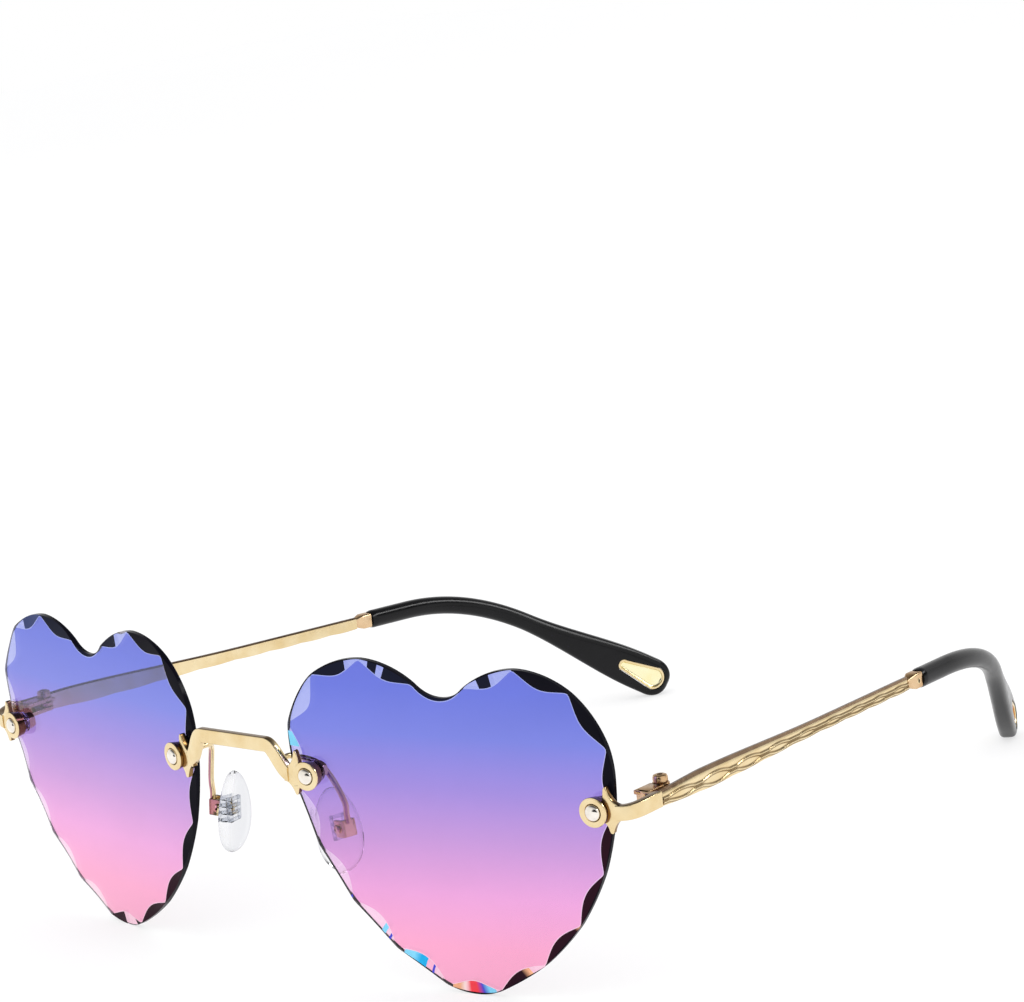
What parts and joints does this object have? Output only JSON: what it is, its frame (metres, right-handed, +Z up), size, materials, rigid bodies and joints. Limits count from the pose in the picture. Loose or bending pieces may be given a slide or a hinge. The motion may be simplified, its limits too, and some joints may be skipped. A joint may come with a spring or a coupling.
{
  "type": "heart-shaped sunglasses",
  "caption": "Rimless sunglasses with diamond-cut heart-shaped tinted lenses, a gold metal bridge, rocking nose pads, braided folding temples and curved black tips.",
  "frame": {"origin": "middle of the footprint, on the surface that the lens points and temple tips stand on", "axes": "+Z up, the lenses face -Y, the open temples run back along +Y, +X is the wearer's left"},
  "size_m": [0.1446, 0.1494, 0.0521],
  "materials": {
    "gold": "polished",
    "steel": "polished",
    "lens_tint": "clear gradient tint",
    "clear_plastic": "clear",
    "black_plastic": "gloss"
  },
  "bodies": {
    "frame": {"bridge": "gold", "lens_left": "lens_tint", "lens_screw_inner_left": "steel", "lens_sleeve_inner_left": "clear_plastic", "lens_washer_inner_left": "clear_plastic", "lens_nut_inner_left": "gold", "lens_screw_outer_left": "steel", "lens_sleeve_outer_left": "clear_plastic", "lens_washer_outer_left": "clear_plastic", "lens_nut_outer_left": "gold", "end_piece_left": "gold", "hinge_screw_left": "gold", "pad_arm_left": "gold", "pad_screw_left": "gold", "lens_right": "lens_tint", "lens_screw_inner_right": "steel", "lens_sleeve_inner_right": "clear_plastic", "lens_washer_inner_right": "clear_plastic", "lens_nut_inner_right": "gold", "lens_screw_outer_right": "steel", "lens_sleeve_outer_right": "clear_plastic", "lens_washer_outer_right": "clear_plastic", "lens_nut_outer_right": "gold", "end_piece_right": "gold", "hinge_screw_right": "gold", "pad_arm_right": "gold", "pad_screw_right": "gold"},
    "temple_left": {"temple_left": "gold", "temple_tip_left": "black_plastic", "tip_inlay_left": "gold"},
    "nose_pad_left": {"nose_pad_left": "clear_plastic", "pad_core_left": "clear_plastic"},
    "temple_right": {"temple_right": "gold", "temple_tip_right": "black_plastic", "tip_inlay_right": "gold"},
    "nose_pad_right": {"nose_pad_right": "clear_plastic", "pad_core_right": "clear_plastic"}
  },
  "joints": [
    {"name": "temple_left_fold", "type": "hinge", "parent": "frame", "child": "temple_left", "pos_m": [0.06892, -0.054, 0.03213], "axis": [0, 0, 1], "range_deg": [0, 68]},
    {"name": "nose_pad_left_rock", "type": "hinge", "parent": "frame", "child": "nose_pad_left", "pos_m": [0.01384, -0.06701, 0.02296], "axis": [0.2588, 0.9659, 0], "range_deg": [-10, 10]},
    {"name": "temple_right_fold", "type": "hinge", "parent": "frame", "child": "temple_right", "pos_m": [-0.06892, -0.054, 0.03213], "axis": [0, 0, -1], "range_deg": [0, 80]},
    {"name": "nose_pad_right_rock", "type": "hinge", "parent": "frame", "child": "nose_pad_right", "pos_m": [-0.01384, -0.06701, 0.02296], "axis": [-0.2588, 0.9659, 0], "range_deg": [-10, 10]}
  ]
}
